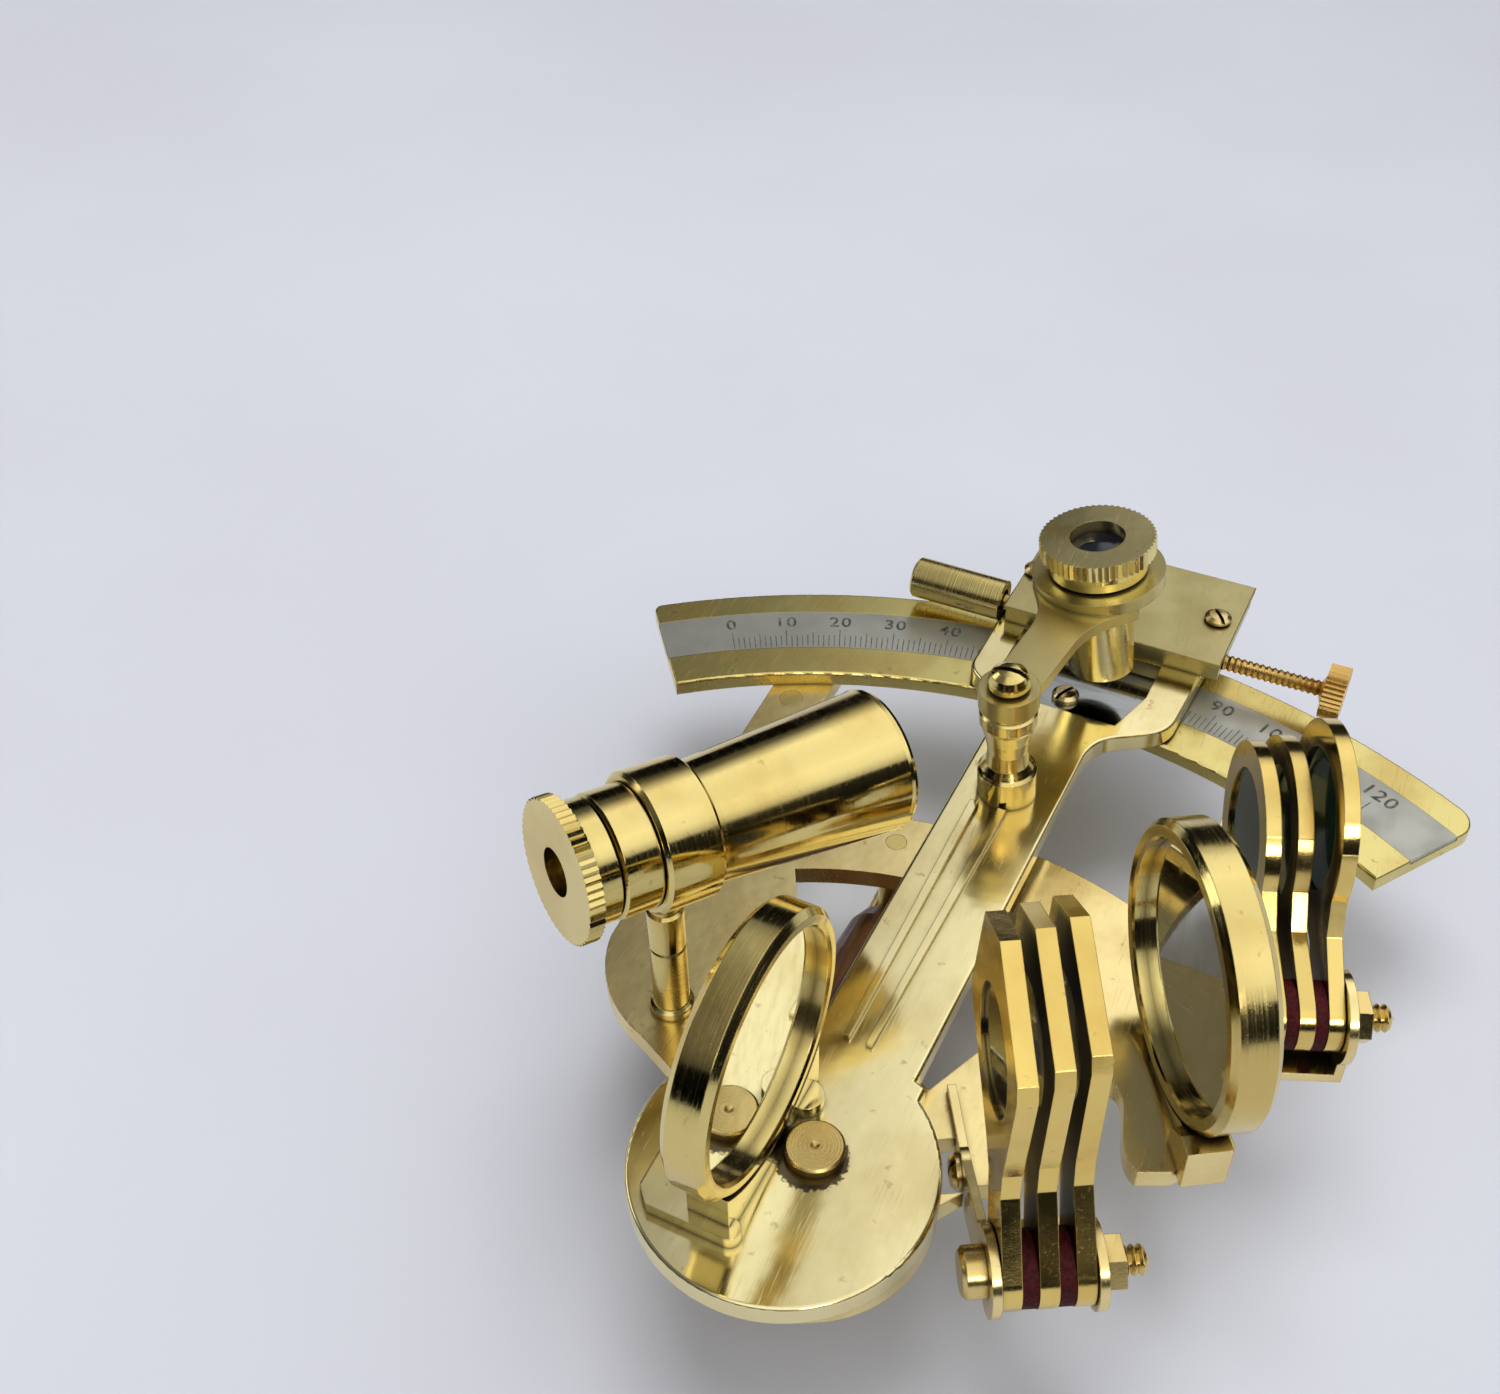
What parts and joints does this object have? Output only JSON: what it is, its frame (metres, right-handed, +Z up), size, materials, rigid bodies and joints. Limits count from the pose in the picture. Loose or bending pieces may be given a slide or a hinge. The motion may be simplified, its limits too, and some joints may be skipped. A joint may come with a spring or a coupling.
{
  "type": "nautical sextant",
  "caption": "Hand-held brass navigation sextant on three feet, with swinging index arm, tangent screw, two mirrors, folding shades, telescope and reading magnifier.",
  "frame": {"origin": "index pivot axis at the level of the surface on which the three feet stand", "axes": "+Z up out of the instrument face, +Y from the pivot to the middle of the arc, +X to the right seen from above"},
  "size_m": [0.111, 0.1247, 0.0584],
  "materials": {
    "frame_brass": "polished cast plate with sawn edges",
    "limb_brass": "satin polished",
    "scale_silver": "fine brushed silver plating",
    "arm_brass": "polished",
    "turned_brass": "lathe turned, polished",
    "satin_brass": "satin turned",
    "screw_brass": "polished screw heads",
    "vernier_metal": "brushed",
    "shade_brass": "polished faces, filed edges",
    "shade_glass": "dark green filter glass",
    "clear_glass": "clear half silvered glass",
    "mirror_glass": "silvered glass",
    "lens_glass": "coated lens",
    "fibre": "maroon fibre washer",
    "grip_wood": "oiled hardwood"
  },
  "bodies": {
    "frame": {"frame_plate": "frame_brass", "limb": "limb_brass", "scale_strip": "scale_silver", "limb_screws": "screw_brass", "limb_feet": "turned_brass", "apex_foot": "turned_brass", "handle_post": "turned_brass", "handle_rod": "turned_brass", "handle_grip": "grip_wood", "pivot_bush": "turned_brass", "horizon_mirror_cell": "turned_brass", "horizon_mirror_glass": "clear_glass", "horizon_mirror_foot": "arm_brass", "index_shade_bracket": "shade_brass", "horizon_shade_bracket": "shade_brass", "bracket_screws": "screw_brass", "shade_bolts": "screw_brass", "shade_nuts": "turned_brass", "shade_washers": "fibre", "telescope_post": "turned_brass"},
    "index_arm": {"index_arm": "arm_brass", "pivot_shaft": "turned_brass", "pivot_nut": "turned_brass", "vernier_plate": "vernier_metal", "vernier_screw": "screw_brass", "tangent_block": "arm_brass", "tangent_cover": "satin_brass", "cover_screws": "screw_brass", "spring_barrel": "turned_brass", "spring_plunger": "turned_brass", "clamp_jaw": "arm_brass", "index_mirror_cell": "turned_brass", "index_mirror_glass": "mirror_glass", "index_mirror_foot": "arm_brass", "magnifier_pillar": "turned_brass", "pillar_screw": "screw_brass"},
    "tangent_screw": {"tangent_screw": "turned_brass"},
    "clamp_screw": {"clamp_screw": "turned_brass"},
    "magnifier_arm": {"magnifier_arm": "satin_brass"},
    "magnifier": {"magnifier_tube": "satin_brass", "magnifier_lens": "lens_glass"},
    "telescope": {"telescope_collar": "turned_brass", "telescope_barrel": "turned_brass", "objective_lens": "lens_glass"},
    "eyepiece": {"draw_tube": "turned_brass", "eyepiece_cap": "turned_brass", "eye_lens": "lens_glass"},
    "index_shade_1": {"index_shade_1": "shade_brass", "index_shade_1_glass": "shade_glass"},
    "index_shade_2": {"index_shade_2": "shade_brass", "index_shade_2_glass": "shade_glass"},
    "index_shade_3": {"index_shade_3": "shade_brass", "index_shade_3_glass": "shade_glass"},
    "horizon_shade_1": {"horizon_shade_1": "shade_brass", "horizon_shade_1_glass": "shade_glass"},
    "horizon_shade_2": {"horizon_shade_2": "shade_brass", "horizon_shade_2_glass": "shade_glass"},
    "horizon_shade_3": {"horizon_shade_3": "shade_brass", "horizon_shade_3_glass": "shade_glass"}
  },
  "joints": [
    {"name": "index_arm_swing", "type": "hinge", "parent": "frame", "child": "index_arm", "pos_m": [0, 0, 0.025], "axis": [0, 0, 1], "range_deg": [-16, 32.9]},
    {"name": "tangent_screw_turn", "type": "hinge", "parent": "index_arm", "child": "tangent_screw", "pos_m": [0.0046, 0.09088, 0.02855], "axis": [0.9987, -0.0506, 0], "continuous": true},
    {"name": "clamp_screw_turn", "type": "hinge", "parent": "index_arm", "child": "clamp_screw", "pos_m": [0.00504, 0.09947, 0.015], "axis": [0, 0, 1], "continuous": true},
    {"name": "magnifier_swing", "type": "hinge", "parent": "index_arm", "child": "magnifier_arm", "pos_m": [0.00208, 0.05687, 0.02735], "axis": [-0.0585, -0.0274, 0.9979], "range_deg": [-10, 20]},
    {"name": "magnifier_focus", "type": "slide", "parent": "magnifier_arm", "child": "magnifier", "axis": [-0.1427, -0.008, 0.9897], "range_m": [0, 0.004]},
    {"name": "telescope_swivel", "type": "hinge", "parent": "frame", "child": "telescope", "pos_m": [-0.0231, 0.0144, 0.033], "axis": [0, 0, 1], "range_deg": [-10, 14]},
    {"name": "eyepiece_draw", "type": "slide", "parent": "telescope", "child": "eyepiece", "axis": [-0.5676, -0.8167, 0.1045], "range_m": [0, 0.005]},
    {"name": "index_shade_1_fold", "type": "hinge", "parent": "frame", "child": "index_shade_1", "pos_m": [0.02008, -0.00353, 0.0245], "axis": [0.8829, 0.4695, 0], "range_deg": [0, 110]},
    {"name": "index_shade_2_fold", "type": "hinge", "parent": "frame", "child": "index_shade_2", "pos_m": [0.02008, -0.00353, 0.0245], "axis": [0.8829, 0.4695, 0], "range_deg": [0, 110]},
    {"name": "index_shade_3_fold", "type": "hinge", "parent": "frame", "child": "index_shade_3", "pos_m": [0.02008, -0.00353, 0.0245], "axis": [0.8829, 0.4695, 0], "range_deg": [0, 110]},
    {"name": "horizon_shade_1_fold", "type": "hinge", "parent": "frame", "child": "horizon_shade_1", "pos_m": [0.0373, 0.0336, 0.0287], "axis": [0.9397, 0.342, 0], "range_deg": [0, 130]},
    {"name": "horizon_shade_2_fold", "type": "hinge", "parent": "frame", "child": "horizon_shade_2", "pos_m": [0.0373, 0.0336, 0.0287], "axis": [0.9397, 0.342, 0], "range_deg": [0, 125]},
    {"name": "horizon_shade_3_fold", "type": "hinge", "parent": "frame", "child": "horizon_shade_3", "pos_m": [0.0373, 0.0336, 0.0287], "axis": [0.9397, 0.342, 0], "range_deg": [0, 108]}
  ]
}
